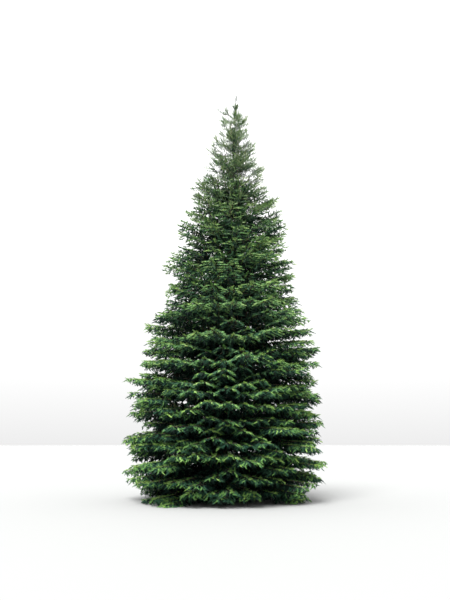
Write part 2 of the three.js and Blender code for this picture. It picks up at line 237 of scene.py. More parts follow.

# How far out in the light a shoot stands, from which its green follows. Its tone is painted light and
# shade, and partly also real, as new growth at the tips is lighter and needles further inside are darker
LIGHT_OUTWARD = 0.62  # what it gains from a twig's root to its tip
LIGHT_ALONG = 0.3  # and along a side spray
LIGHT_UPWARD = 0.4  # and from a level shoot to one that points up, as painted light from above
LIGHT_UPWARD_END = 0.3  # the same for the shoot at a spray's end
LIGHT_BASE = 0.04
LIGHT_BY_SPRAY = 0.1  # between sprays, by chance
LIGHT_BY_SHOOT = 0.15  # between shoots
LIGHT_INSIDE = -0.5  # place that counts for growth inside the crown, which gives it the darkest tone as painted shade
LIGHT_STEPS = [0.24, 0.54, 0.8]  # between the tones

# Shoots along the ridge of a twig
RIDGE_SPACING = 85
RIDGE_FEWEST = 3
RIDGE_START = 0.05
RIDGE_END = 60  # from the last to the twig's tip
RIDGE_STEP = 0.05  # of the twig's length, to tell how steeply it runs
RIDGE_SPREAD = [0.3, 0.7]  # least and most that one leans aside
RIDGE_LIFT = [0.05, 0.35]  # least and most
RIDGE_LENGTH = [80, 120]  # least and most
RIDGE_LIGHT = [0.42, 0.6]  # at the twig's root, and what it gains to its tip; high, as painted light on the twig's top

# Shoots that hang from a twig, and the one that ends it
HANGER_SPACING = [82, 155]
HANGER_PLACES = [0.03, 0.9]  # of the first and the last along a twig
HANGER_SPREAD = 0.7  # most that one leans aside or onward
HANGER_LENGTH = [170, 360]  # least and most
HANGER_SHORTENING = [1.0, 0.5]
HANGER_OUTER = [0.6, 0.65]  # beyond this place they are shorter by that
HANGER_SLIM = 0.6  # slim ones are shorter by that
HANGER_LIGHT = [0.1, 0.2]  # at the twig's root, and what it gains to its tip; low, as painted shade under the twig
TIP_SHOOT = [130, 330]
TIP_BEYOND = 20  # how far it passes the twig's tip
# The shoot that ends a twig gets the lightest tone: new growth, with painted light.
TIP_LIGHT = 0.95

# Growth along the limbs of the masses
INSIDE_NUMBER = [14, 46]  # in the smallest mass, and what the largest has more
INSIDE_CROWDING = [1.25, 0.8]
INSIDE_PLACES = [0.15, 1.5]  # least and most, of the way to the knot
INSIDE_TURN = [0.5, 1.8]  # least and most, in radians to either side of the limb
INSIDE_SIZE = [0.5, 1.05]  # least and most, of the sector's half width
INSIDE_HANG = [-0.9, 1.0]  # least and most, of half the mass's depth
INSIDE_POWER = 1.0  # they hang in a straight line

# Small twigs that stand on the trunk
TRUNK_TWIGS = [350, 11000]  # heights of the lowest and the highest
TRUNK_TWIG_NUMBER = 560
TRUNK_TWIG_CROWDING = 1.25  # above 1, they stand closer near the ground
TRUNK_TWIG_UNEVEN = 8
TRUNK_TWIG_TURN = 0.5  # radians to either side, by chance
TRUNK_TWIG_SIZE = [0.3, 0.6]  # least and most, of the crown's reach
TRUNK_TWIG_HANG = [-0.15, 0.3]  # least and most, of its size
TRUNK_TWIG_POWER = 1.5
NEXT_TURN = 2.4  # radians, from one growth round a stem to the next

# Leader. Places are from the trunk's tip at 0 to the tree's at 1.
LEADER_POINTS = 6
LEADER_RADIUS = [9.0, 2.5]  # at its foot and at its tip
LEADER_LIGHT = 0.3
LEADER_SHOOT = 100
LEADER_SHOOTS = 26
LEADER_SHOOTS_END = 0.93
LEADER_STEEPNESS = 6.0  # rise over run
WHORL_SHOOTS = 30  # that stand round its foot
WHORL_SHOOTS_PLACES = [0.04, 0.6]  # of the first and the last
WHORL_SHOOT = [310, 130]  # their lengths
WHORL_STEEPNESS = 1.5
LAST_SHOOTS = 7  # upright ones that end it
LAST_SHOOTS_DROP = [190, 70]  # from its tip down to their feet

# Needles
NEEDLE_LENGTH = 58
NEEDLE_WIDTH = 16
NEEDLE_SHARE = [0.8, 1.15]  # least and most of that length
NEEDLE_SHORTENING = 0.3  # towards the end of a shoot
NEEDLE_PLACES = [0.04, 0.94]  # of the first and the last along a shoot
NEEDLE_ANGLE = [38, 16]  # to the shoot, at its foot and at its end
NEEDLE_ANGLE_OFF = 10
NEEDLE_TURNS = [-35, 215]  # round the shoot, over its top
NEEDLE_TURN_OFF = 12
NEEDLE_NEXT = 0.618  # of that range, from one needle to the next
NEEDLE_TWIST = 0.6  # how unevenly the blades are turned
NEEDLE_SCALE = [1.0, 0.85]
FIN_WIDTH = 19  # half the width of the green body of a shoot
FIN_DROP = 16  # how far its edges lie below the shoot
FIN_PLACE = 0.4  # where along the shoot it is widest

# Bark
TRUNK_SIDES = 40
TRUNK_RINGS = 150
RING_CROWDING = 1.25  # above 1, the rings stand closer near the ground
TRUNK_SEED = 5
PLATES_ROUND = 9  # pairs of plates round the trunk
PLATE_WAVE = 90  # in this height the upright cracks wind by a radian
PLATE_WAVE_DEPTH = 1.7
PLATE_HEIGHT = 38  # plates are pi times as tall
PLATE_SHIFT = 2.1  # how far the level cracks rise and fall
PLATE_SHIFTS = 3
PLATE_POWER = 0.5  # below 1 plates are flat and cracks narrow
PLATE_LEVEL = 0.6  # of the plain surface; cracks are at 0 and plates at 1
RELIEF = 0.045  # of the trunk's radius
GRAIN_RELIEF = 0.012
RELIEF_START = 150  # the relief fades out below this height
BOUGH_RADIUS = [34, 14]  # at the trunk and where its twigs part
BOUGH_PAST_KNOT = 1.1  # where they end, of the way to the knot
BOUGH_POINTS = 10
BOUGH_SIDES = 8

# Colours
# Each band's four greens, darkest to lightest, are dealt to shoots by how lit they stand. The darkest is
# painted shade. The second is older needles darkened by painted shade. The third is new growth lightened
# by painted light. The lightest is new growth at the tips with a painted highlight from above. The low
# band's darkest greens are near black, as painted shade of the dense lower crown.
GREENS = {
    "low": {
        "deep_shade": (0.0038, 0.0138, 0.01),
        "old_and_shaded": (0.0195, 0.059, 0.034),
        "fresh_and_lit": (0.089, 0.196, 0.057),
        "tip": (0.202, 0.34, 0.096),
    },
    "middle": {
        "deep_shade": (0.0082, 0.022, 0.0165),
        "old_and_shaded": (0.038, 0.094, 0.049),
        "fresh_and_lit": (0.127, 0.248, 0.09),
        "tip": (0.255, 0.385, 0.142),
    },
    "high": {
        "deep_shade": (0.027, 0.052, 0.035),
        "old_and_shaded": (0.066, 0.119, 0.07),
        "fresh_and_lit": (0.137, 0.226, 0.105),
        "tip": (0.235, 0.33, 0.155),
    },
}
COOL_SIDE = [0.70, 0.80, 0.90]  # how each green varies from place to place
WARM_SIDE = [1.32, 1.22, 1.02]
GREEN_RANGE = [0.32, 0.68]  # of the noise, from cool to warm
NEEDLE_ROUGHNESS = 0.5
NEEDLE_GLOSS = 0.12
BARK_COLOURS = [(0.020, 0.014, 0.011), (0.17, 0.128, 0.10)]  # in the cracks and on the plates
TWIG_COLOURS = [(0.050, 0.036, 0.024), (0.17, 0.125, 0.085)]
BARK_RANGE = [0.25, 0.75]  # of the height, from cracks to plates
BARK_SCALE = 24.0  # plates to the metre
BARK_BUMP = 0.009
BARK_STRETCH = 0.45  # plates are so much longer up the trunk
PLATE_WEIGHT = 0.6  # of the plates, against the grain
TWIG_BARK_SCALE = 120.0
TWIG_BARK_BUMP = 0.001
BARK_ROUGHNESS = 0.9
BARK_GLOSS = 0.2
FLOOR_COLOUR = (0.265, 0.268, 0.265)
FLOOR_ROUGHNESS = 0.9
FLOOR_GLOSS = 0.1

# Studio, in metres and degrees
FLOOR_RADIUS = 260
FLOOR_SIDES = 96
SKY = [0.36, 1.0]  # from below and from straight above
SKY_STRENGTH = 2.4
SUN_STRENGTH = 6.8
SUN_WIDTH = 30
SUN_TILT = (28, -12, 0)
LENS = 38
SENSOR = 36
CAMERA_PLACE = (0.084, -17.8, 1.54)
CAMERA_RISE = 12.6
FARTHEST = 600


# The source's rule for the crown
def lerp(a, b, t):
    return a + (b - a) * t


def in_height(pair, z, power=1):
    """What a pair for the ground and the tip gives at a height."""
    return lerp(*pair, np.clip(z / HEIGHT, 0, 1) ** power)


def seeded(seed):
    """The source's numbers for a seed, one after another."""
    state = SEED_STEP * seed + SEED_START

    def following():
        nonlocal state
        state = (state * NUMBER_STEP) % NUMBER_RANGE
        return state / NUMBER_RANGE

    following()
    return following


def axis_at(z):
    """The middle of the trunk at a height."""
    t = min(max(z / HEIGHT, 0.0), 1.0)
    return np.array([LEAN * t**LEAN_POWER, SWEEP * math.sin(math.pi * t), z])


def polar(axis, r, azimuth, z):
    """Points at distances and azimuths round an axis, each at its height."""
    r, azimuth, z = np.broadcast_arrays(r, azimuth, z)
    return np.stack([axis[0] + r * np.cos(azimuth), axis[1] + r * np.sin(azimuth), z], axis=-1)


def crown_radius(z):
    t = min(max(z / HEIGHT, 0.0), 1.0)
    tuck = SKIRT_TUCK * max(0.0, 1 - z / SKIRT_HEIGHT) ** 2
    return CROWN_REACH * (1 - t**CROWN_BULGE) * (1 - tuck)


def whorl_height(i):
    return FIRST_WHORL + WHORL_GAP * i - WHORL_GAP_LOSS * i * (i - 1) / 2


TOP_WHORL = whorl_height(2 * len(MASSES_IN_TIER))
TRUNK_TOP = TOP_WHORL - TRUNK_NECK


def swell(azimuth):
    waves = zip(SWELL, SWELL_WAVES, SWELL_TURN)
    return sum(size * math.sin(number * azimuth + turn) for size, number, turn in waves)


def trunk_radius(z):
    left = np.maximum(0.0, 1 - z / TRUNK_TOP) ** TRUNK_TAPER
    return lerp(TRUNK_TIP_RADIUS, BUTT_RADIUS, left)


def rise(z, reach, r):
    """How far a limb that leaves the trunk at a height has risen at a distance from it."""
    slope = math.tan(math.radians(in_height(ELEVATION, z, ELEVATION_POWER)))
    return slope * r - in_height(SAG, z) * reach * np.sin(np.pi * r / reach)


def reach_from(z):
    """How far a limb that leaves the trunk at a height goes to meet the crown's outline."""
    reach = crown_radius(z)
    for _ in range(REACH_ROUNDS):
        reach = lerp(reach, crown_radius(z + rise(z, reach, reach)), 0.5)
    return reach


def whorl_fans(tier, layer, middle, random, number, share=1.0):
    """A mass's fans in one layer: 0 is its tier's lower whorl and 1 the upper one."""
    turn = 2 * math.pi / MASSES_IN_TIER[tier]
    height = whorl_height(2 * tier + layer)
    least, most = in_height(LEAST_REACH, height), in_height(MOST_REACH, height)
    fans = []
    for f in range(number):
        azimuth = middle + turn * ((f + 0.5) / number - 0.5)
        bias = 1 + CROWN_BIAS * math.sin(math.pi * height / HEIGHT) * math.cos(azimuth)
        own = height + swell(azimuth) + in_height(HEIGHT_SPREAD, height) * (random() - 0.5)
        reach = share * bias * reach_from(height) * lerp(least, most, random())
        fans.append({"height": own, "azimuth": azimuth, "half_slot": turn / number / 2, "reach": reach})
    return fans


def mass_plan(tier, place):
    """Where a mass stands, how large it is, and its fans."""
    random = seeded(CROWN_SEED + CROWN_SEED_STEP * (tier + 1) + place)
    turn = 2 * math.pi / MASSES_IN_TIER[tier]
    middle = math.radians(TIER_TURN * tier) + turn * (place + 0.5)
    low = whorl_height(2 * tier)
    high = whorl_height(2 * tier + 1)
    bottom = low - CORE_BELOW * (high - low)
    top = high + CORE_ABOVE
    level = (bottom + top) / 2
    reach = reach_from(level)
    size = reach / CROWN_REACH
    on_bough = tier < BOUGH_TIERS
    foot = BOUGH_SHARE * reach if on_bough else float(trunk_radius(level))
    core = foot + lerp(*STEM_LENGTH, size)
    fans = whorl_fans(tier, 0, middle, random, LOWER_FANS[tier])
    fans += whorl_fans(tier, 1, middle, random, UPPER_FANS[tier])
    return {
        "tier": tier, "place": place, "axis": axis_at(level), "middle": middle, "level": level,
        "reach": reach, "size": size, "on_bough": on_bough, "depth": (top - bottom) / 2,
        "knot": lerp(core, CORE_END * reach, KNOT_PLACE), "fans": fans,
    }


def mass_point(plan, r):
    """The middle of a mass, at a distance from the trunk's axis."""
    z = plan["level"] + rise(plan["level"], plan["reach"], r)
    return polar(plan["axis"], r, plan["middle"], np.maximum(z, LOWEST_TWIG))


def smoothstep(t):
    t = np.clip(t, 0.0, 1.0)
    return t * t * (3 - 2 * t)


def fan_line(plan, fan, s):
    """Points along a fan's twig, from the knot at 0 out to its tip at 1."""
    r = lerp(plan["knot"], fan["reach"], s)
    swing = smoothstep(s / SWING_SHARE)
    azimuth = lerp(plan["middle"], fan["azimuth"], swing)
    own = fan["height"] + rise(fan["height"], fan["reach"], r)
    knot_z = mass_point(plan, plan["knot"])[2]
    z = lerp(knot_z, own, swing)
    return polar(plan["axis"], r, azimuth, np.maximum(z, LOWEST_TWIG))


def unit(v):
    return v / np.maximum(np.linalg.norm(v, axis=-1, keepdims=True), LEAST_LENGTH)


def heading(plan, fan, s):
    """The level ways along a twig and to its left, at places along it."""
    along = fan_line(plan, fan, s + HEADING_STEP) - fan_line(plan, fan, s - HEADING_STEP)
    along[..., 2] = 0
    along = unit(along)
    return along, np.stack([-along[..., 1], along[..., 0], np.zeros(len(along))], axis=-1)


def room_for(plan, fan, base, out, turn, wanted):
    """How long each spray may be before it leaves its fan's slot of the crown."""
    size = wanted.copy()
    for _ in range(FITTING_ROUNDS):
        end = base + out * size[:, None] - plan["axis"]
        off = np.arctan2(end[:, 1], end[:, 0]) - fan["azimuth"]
        turned = turn * np.arctan2(np.sin(off), np.cos(off))
        left = np.minimum(fan["half_slot"] - turned, FINE_WIDEST)
        clear = np.hypot(end[:, 0], end[:, 1]) * np.sin(left)
        bad = (clear < FINE_MARGIN) & (size > SHORTEST_FINE)
        if not bad.any():
            break
        size[bad] *= FITTING_STEP
    return size


def room_to_edge(base, way):
    """How far points can go along their ways before they meet a side of the solids' box."""
    low, high = np.array(CAD_BOX)[:, :2] / MM
    way = np.where(np.abs(way[:, :2]) < LEAST_WAY, LEAST_WAY, way[:, :2])
    return np.min((np.where(way > 0, high, low) - base[:, :2]) / way, axis=1)


# Growing: each list gathers what is joined to meshes at the end.
twigs = []  # points, radii and height band of each
sprays = []  # dicts of arrays
shoots = []  # dicts of arrays


def either_way(most, size, rng):
    return rng.uniform(-most, most, size)


def picked(row, which):
    return {key: value[which] for key, value in row.items()}


def joined(parts):
    return {key: np.concatenate([part[key] for part in parts]) for key in parts[0]}


def band_of(tier):
    return next(i for i, end in enumerate(BANDS) if tier < end)


def mixed_band(z, rng):
    """Which height band's greens each spray has; near a border both are mixed."""
    return np.searchsorted(BAND_HEIGHTS, z + either_way(BAND_BLEND, len(z), rng))


def mixed_kind(s, z, shade, rng):
    """The kind of each spray by its place on the twig, and slim near the tree's tip."""
    rim = RIM_START[0] if shade < SHADED else RIM_START[1]
    kind = np.where(s < rim, MIDDLE, RIM)
    return np.where(z + either_way(SLIM_BLEND, len(z), rng) > SLIM_HEIGHT, SLIM, kind)


def inside_kind(z):
    return np.where(z > SLIM_HEIGHT + SLIM_INSIDE, SLIM, INSIDE)


def ways_round(azimuth, steepness=0.0):
    """Ways out from a stem at azimuths, which all rise by the same steepness."""
    return np.stack([np.cos(azimuth), np.sin(azimuth), np.full(len(azimuth), steepness)], axis=-1)


def add_sprays(base, out, **each):
    """Side sprays from their roots and level ways. One number may stand for all."""
    row = {key: np.broadcast_to(value, len(base)) for key, value in each.items()}
    sprays.append({"base": base, "out": out, **row})


def add_shoots(base, way, length, light, bearer, rng):
    """Shoots from their roots and ways, kept near the solids' box."""
    count = len(base)
    length = np.minimum(length, np.maximum(room_to_edge(base, way) + SHOOT_MARGIN, SHORTEST_FINE))
    shoots.append({
        "base": base, "way": way, "length": length,
        "light": light + rng.normal(0, LIGHT_BY_SHOOT, count),
        **{key: np.broadcast_to(bearer[key], count) for key in ("band", "kind")},
    })


def grow_twig(plan, fan):
    places = np.linspace(0, 1, TWIG_POINTS)
    thick = TWIG_RADIUS[0] * min(1.0, fan["length"] / FULL_TWIG) ** TWIG_THINNING
    radii = lerp(thick, TWIG_RADIUS[1], places**TWIG_TAPER)
    twigs.append((fan_line(plan, fan, places), radii, fan["band"]))


def grow_side_sprays(plan, fan, rng):
    """The sprays to the left and the right of a twig, each within its slot."""
    z, length, shade = fan["height"], fan["length"], fan["shade"]
    spacing = in_height(FINE_SPACING, z) * (1.0 if shade < SHADED else FINE_SHADED)
    end = in_height(FINE_END, z)
    number = max(FINE_FEWEST, round(length * (end - FINE_START) / spacing))
    droop = math.tan(math.radians(in_height(DROOP, z, DROOP_POWER)))
    for turn in (1, -1):
        uneven = either_way(FINE_UNEVEN, number, rng)
        t = (np.arange(number) + 0.5 + FINE_STAGGER * turn + uneven) / number
        s = lerp(FINE_START, end, np.clip(t, 0, 1) ** FINE_CROWDING)
        base = fan_line(plan, fan, s)
        along, side = heading(plan, fan, s)
        angle = np.radians(SPRAY_ANGLE + either_way(FINE_TURN, number, rng))[:, None]
        out = unit(along * np.cos(angle) + turn * side * np.sin(angle))
        longest = in_height(SPRAY_SHARE, z) * length * (1 - s**SPRAY_FADE) + LEAST_SHARE * length * s
        wanted = longest * rng.uniform(*SPRAY_SPREAD, number)
        size = room_for(plan, fan, base, out, turn, np.minimum(wanted, LONGEST_FINE))
        size = np.minimum(size, np.maximum(room_to_edge(base, out), SHORTEST_FINE))
        hang = np.minimum(size * droop * rng.uniform(*FINE_HANG, number), MOST_HANG)
        band = mixed_band(base[:, 2], rng)
        kind = mixed_kind(s, base[:, 2], shade, rng)
        add_sprays(base, out, size=size, hang=hang, s=s, band=band, kind=kind, shade=shade,
                   power=HANG_POWER)


def grow_ridge(plan, fan, rng):
    """Short shoots that stand along the top of a twig."""
    length = fan["length"]
    number = max(RIDGE_FEWEST, round(length / RIDGE_SPACING))
    s = np.clip((np.arange(number) + rng.uniform(0, 1, number)) / number, RIDGE_START, 1)
    base = fan_line(plan, fan, s * (1 - RIDGE_END / length))
    side = heading(plan, fan, s)[1]
    slope = fan_line(plan, fan, s) - fan_line(plan, fan, s - RIDGE_STEP)
    spread = rng.choice([-1.0, 0.0, 1.0], number)[:, None] * rng.uniform(*RIDGE_SPREAD, number)[:, None]
    way = unit(unit(slope) + side * spread + UP * rng.uniform(*RIDGE_LIFT, number)[:, None])
    light = RIDGE_LIGHT[0] + RIDGE_LIGHT[1] * s - fan["shade"]
    add_shoots(base, way, rng.uniform(*RIDGE_LENGTH, number), light, fan, rng)


def grow_hangers(plan, fan, rng):
    """Shoots that hang from a twig, fewer and shorter near the tree's tip."""
    slim = fan["kind"] == SLIM
    number = round(fan["length"] / in_height(HANGER_SPACING, fan["height"]))
    s = rng.uniform(*HANGER_PLACES, number)
    base = fan_line(plan, fan, s)
    along, side = heading(plan, fan, s)
    aside = side * either_way(HANGER_SPREAD, number, rng)[:, None]
    onward = along * rng.uniform(0.0, HANGER_SPREAD, number)[:, None]
    fall = rng.uniform(*HANGER_LENGTH, number) * in_height(HANGER_SHORTENING, fan["height"])
    fall = fall * np.where(s > HANGER_OUTER[0], HANGER_OUTER[1], 1) * (HANGER_SLIM if slim else 1.0)
    light = HANGER_LIGHT[0] + HANGER_LIGHT[1] * s - fan["shade"]
    bearer = {**fan, "kind": SLIM if slim else HANGING}
    add_shoots(base, unit(-UP + aside + onward), fall, light, bearer, rng)


def grow_tip(plan, fan, rng):
    """The shoot that ends a twig."""
    long = in_height(TIP_SHOOT, fan["height"])
    root = fan_line(plan, fan, np.array([1 - long / fan["length"]]))
    way = unit(fan_line(plan, fan, np.array([1.0])) - root)
    add_shoots(root, way, long + TIP_BEYOND, TIP_LIGHT - fan["shade"], fan, rng)


def grow_fan(plan, fork, band, shade, rng):
    """One twig of the crown with its side sprays and its own shoots."""
    ends = fan_line(plan, fork, np.array([0.0, 1.0]))
    length = float(np.linalg.norm(ends[1] - ends[0]))
    kind = SLIM if fork["height"] > SLIM_HEIGHT else RIM
    fan = {**fork, "length": length, "band": band, "shade": shade, "kind": kind}
    grow_twig(plan, fan)
    grow_side_sprays(plan, fan, rng)
    grow_ridge(plan, fan, rng)
    grow_hangers(plan, fan, rng)
    grow_tip(plan, fan, rng)


def forks(fan, rng):
    """The twigs that a fan parts into, each in its own share of the fan's slot."""
    number = max(1, round(2 * fan["half_slot"] * fan["reach"] / FORK_WIDTH))
    half = fan["half_slot"] / number
    longest = rng.integers(number)
    return [
        {
            "height": fan["height"] + (FORK_SPREAD * rng.uniform(-1, 1) if number > 1 else 0.0),
            "azimuth": fan["azimuth"] + (2 * i + 1 - number) * half,
            "half_slot": half,
            "reach": fan["reach"] * (1.0 if i == longest else lerp(*FORK_REACH, rng.random())),
        }
        for i in range(number)
    ]


def between_forks(plan, rng):
    """The forks of the fans that stand between the whorls."""
    tier = plan["tier"]
    number = LOWER_FANS[tier] if tier < FULL_TIERS else BETWEEN_FEW
    between = []
    for layer in BETWEEN_LAYERS if tier else [LOWEST_LAYER, *BETWEEN_LAYERS]:
        for fan in whorl_fans(tier, layer, plan["middle"], rng.random, number, BETWEEN_REACH):
            height = fan["height"] + rng.uniform(-BETWEEN_SPREAD, BETWEEN_SPREAD)
            between += forks({**fan, "height": max(height, LOWEST_FAN)}, rng)
    return between


def held(plan, fork):
    """The fork, which ends inside the solids' box and leaves the leader alone."""
    way = np.array([[math.cos(fork["azimuth"]), math.sin(fork["azimuth"])]])
    reach = min(fork["reach"], room_to_edge(plan["axis"][None], way)[0] - EDGE_MARGIN)
    tip = fork["height"] + rise(fork["height"], reach, reach)
    if tip > LEADER_ALONE:
        reach *= min(1.0, (crown_radius(tip) + CONE_MARGIN) / reach) ** CONE_POWER
    return {**fork, "reach": reach}


def limb_line(plan, places, past=1.0):
    """Points along a mass's limb, from inside the trunk to its knot."""
    start = float(trunk_radius(plan["level"])) * LIMB_ROOT
    return mass_point(plan, lerp(start, plan["knot"] * past, places))


def grow_stem(plan, band):
    """The limb of a mass without a bough of its own."""
    places = np.linspace(0, 1, STEM_POINTS)
    radius = lerp(*STEM_RADIUS, plan["size"])
    radii = lerp(radius * STEM_TAPER[0], radius * STEM_TAPER[1], places)
    twigs.append((limb_line(plan, places), radii, band))


def grow_inside(plan, rng):
    """Sprays along the limb of a mass, where the crown is dense, in the darkest greens as painted shade.
    """
    crowding = in_height(INSIDE_CROWDING, plan["level"])
    number = int(INSIDE_NUMBER[0] + INSIDE_NUMBER[1] * plan["size"] * crowding)
    r = plan["knot"] * rng.uniform(*INSIDE_PLACES, number)
    base = mass_point(plan, r)
    azimuth = plan["middle"] + rng.choice([-1, 1], number) * rng.uniform(*INSIDE_TURN, number)
    width = r * math.sin(math.pi / MASSES_IN_TIER[plan["tier"]])
    size = np.minimum(width, LONGEST_FINE) * rng.uniform(*INSIDE_SIZE, number)
    hang = np.minimum(rng.uniform(*INSIDE_HANG, number) * plan["depth"], base[:, 2] - LOWEST_TWIG)
    band = mixed_band(base[:, 2], rng)
    add_sprays(base, ways_round(azimuth), size=size, hang=hang, s=LIGHT_INSIDE, band=band,
               kind=inside_kind(base[:, 2]), shade=0.0, power=INSIDE_POWER)


def grow_mass(plan):
    """The twigs of one mass: first where they stand, then what they bear."""
    band = band_of(plan["tier"])
    rng = np.random.default_rng(MASS_SEED + TIER_SEED * plan["tier"] + plan["place"])
    if not plan["on_bough"]:
        grow_stem(plan, band)
    outer = [fork for fan in plan["fans"] for fork in forks(fan, rng)]
    between = between_forks(plan, rng)
    for fork in outer:
        grow_fan(plan, held(plan, fork), band, 0.0, rng)
    for fork in between:
        # Twigs between the whorls get painted shade, which darkens their greens.
        shade = float(np.interp(fork["height"], SHADE_HEIGHTS, SHADE_BETWEEN))
        grow_fan(plan, held(plan, fork), band, shade, rng)
    grow_inside(plan, rng)


def leader_line(places):
    return np.stack([axis_at(lerp(TRUNK_TOP, HEIGHT, place)) for place in places])


def grow_round_leader(places, steepness, length, bearer, rng):
    """Shoots that stand round the leader, each turned on from the last."""
    azimuth = NEXT_TURN * np.arange(len(places))
    way = unit(ways_round(azimuth, steepness))
    add_shoots(leader_line(places), way, length, LEADER_LIGHT, bearer, rng)


def grow_leader(band, rng):
    """The leader with its short shoots, longer ones at its foot, and those that end it."""
    places = np.linspace(0, 1, LEADER_POINTS)
    twigs.append((leader_line(places), lerp(*LEADER_RADIUS, places), band))
    slim = {"band": band, "kind": SLIM}
    along = np.linspace(0.0, LEADER_SHOOTS_END, LEADER_SHOOTS)
    grow_round_leader(along, LEADER_STEEPNESS, LEADER_SHOOT, slim, rng)
    low = np.linspace(*WHORL_SHOOTS_PLACES, WHORL_SHOOTS)
    shorter = lerp(*WHORL_SHOOT, low / WHORL_SHOOTS_PLACES[1])
    grow_round_leader(low, WHORL_STEEPNESS, shorter, slim, rng)
    last = axis_at(HEIGHT) - UP * np.linspace(*LAST_SHOOTS_DROP, LAST_SHOOTS)[:, None]
    full = {"band": band, "kind": RIM}
    add_shoots(last, np.array([UP] * LAST_SHOOTS), LEADER_SHOOT, LEADER_LIGHT, full, rng)


def grow_top():
    """The two whorls of twigs below the leader, and the leader."""
    band = len(BANDS) - 1
    rng = np.random.default_rng(TOP_SEED)
    heights = [TOP_WHORL, lerp(TOP_WHORL, HEIGHT, 1 - LEADER_SHARE)]
    for layer, (height, number) in enumerate(zip(heights, TOP_FANS)):
        reach = TOP_REACH * reach_from(height)
        for f in range(number):
            azimuth = 2 * math.pi * (f + layer / 2) / number
            fan = {"height": height, "azimuth": azimuth, "half_slot": math.pi / number, "reach": reach}
            plan = {"axis": axis_at(height), "level": height, "middle": azimuth, "reach": reach, "knot": 0}
            grow_fan(plan, fan, band, 0.0, rng)
    grow_leader(band, rng)


def grow_on_trunk(rng):
    """The small twigs on the trunk between its whorls, in the shade of the crown, which is painted into
    their greens.
    """
    number = TRUNK_TWIG_NUMBER
    even = np.linspace(0, 1, number) ** TRUNK_TWIG_CROWDING
    z = lerp(*TRUNK_TWIGS, even) + either_way(TRUNK_TWIG_UNEVEN, number, rng)
    azimuth = NEXT_TURN * np.arange(number) + either_way(TRUNK_TWIG_TURN, number, rng)
    size = np.array([reach_from(v) for v in z]) * rng.uniform(*TRUNK_TWIG_SIZE, number)
    hang = size * rng.uniform(*TRUNK_TWIG_HANG, number)
    base = np.stack([axis_at(v) for v in z])
    add_sprays(base, ways_round(azimuth), size=size, hang=hang, s=LIGHT_INSIDE, band=mixed_band(z, rng),
               kind=inside_kind(z), shade=0.0, power=TRUNK_TWIG_POWER)


def spray_point(row, u):
    """Points along sprays, which run out and fall by a power of the way along them."""
    point = row["base"] + row["out"] * (row["size"] * u)[:, None]
    point[:, 2] -= row["hang"] * u ** row["power"]
    return point


def spray_heading(row, u):
    way = row["out"] * row["size"][:, None]
    way[:, 2] -= row["hang"] * row["power"] * u ** (row["power"] - 1)
    return unit(way)


def light_on(row, u):
    return LIGHT_OUTWARD * row["s"] + LIGHT_ALONG * u - row["shade"]


def grow_spray_shoots(row, rng):
    """Shoots along every side spray, on its left and its right by turns."""
    length = np.hypot(row["size"], row["hang"])
    spacing = SHOOT_SPACING * SPACING_OF[row["kind"]]
    number = np.maximum(SHOOT_FEWEST, np.round(SHOOT_CROWDING * length / spacing)).astype(int)
    number = np.where(length < LONE_SHOOT, 1, number)
    which = np.repeat(np.arange(len(length)), number)
    each = picked(row, which)
    k = np.arange(len(which)) - np.repeat(np.cumsum(number) - number, number)
    uneven = either_way(SHOOT_UNEVEN, len(k), rng)
    u = np.clip((k + SHOOT_FIRST + uneven) / number[which], *SHOOT_PLACES)
    base = spray_point(each, u)
    along = spray_heading(each, u)
    side = unit(np.cross(along, UP)) * np.where(k % 2 == 0, 1.0, -1.0)[:, None]
    angle = np.radians(SHOOT_ANGLE + either_way(SHOOT_TURN, len(k), rng))[:, None]
    lift = in_height(SHOOT_LIFT, base[:, 2], SHOOT_LIFT_POWER) + rng.uniform(*SHOOT_LIFT_SPREAD, len(k))
    way = unit(along * np.cos(angle) + side * np.sin(angle) + UP * lift[:, None])
    span = lerp(*SHOOT_LENGTH, u) * in_height(SHOOT_SHORTENING, base[:, 2])
    span = span * rng.uniform(*SHOOT_SPREAD, len(k))
    span = np.minimum(span, SHOOT_LIMIT[0] + SHOOT_LIMIT[1] * each["size"]) * LENGTH_OF[each["kind"]]
    own = np.repeat(rng.normal(0, LIGHT_BY_SPRAY, len(length)), number)
    # Shoots that point up get lighter tones, as painted light from above. Those further out get lighter
    # tones too, partly painted light and partly new growth.
    light = light_on(each, u) + own + LIGHT_UPWARD * way[:, 2] + LIGHT_BASE
    add_shoots(base, way, span, light, each, rng)


def grow_spray_ends(row, rng):
    """The shoot at the end of every side spray; a slim spray has one more before it."""
    for start, end in SPRAY_ENDS:
        some = picked(row, (row["kind"] == SLIM) | (end > 1))
        root = spray_point(some, start)
        whole = spray_point(some, end) - root
        way = unit(whole)
        light = light_on(some, end) + LIGHT_UPWARD_END * way[:, 2]
        add_shoots(root, way, np.linalg.norm(whole, axis=1), light, some, rng)


# Meshes from arrays
def new_object(name, data):
    thing = bpy.data.objects.new(name, data)
    bpy.context.scene.collection.objects.link(thing)
    return thing


def mesh_piece(name, points, faces, material, slot):
    """A piece from points in millimetres and triangles, set on the tree."""
    points = points.reshape(-1, 3) * MM
    mesh = bpy.data.meshes.new(name)
    mesh.vertices.add(len(points))
    mesh.vertices.foreach_set("co", points.astype(np.float32).ravel())
    mesh.loops.add(faces.size)
    mesh.loops.foreach_set("vertex_index", faces.astype(np.int32).ravel())
    mesh.polygons.add(len(faces))
    mesh.polygons.foreach_set("loop_start", np.arange(0, faces.size, 3, dtype=np.int32))
    mesh.update(calc_edges=True)
    mesh.materials.append(material)
    piece = new_object(name, mesh)
    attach(piece, "root")
    return piece


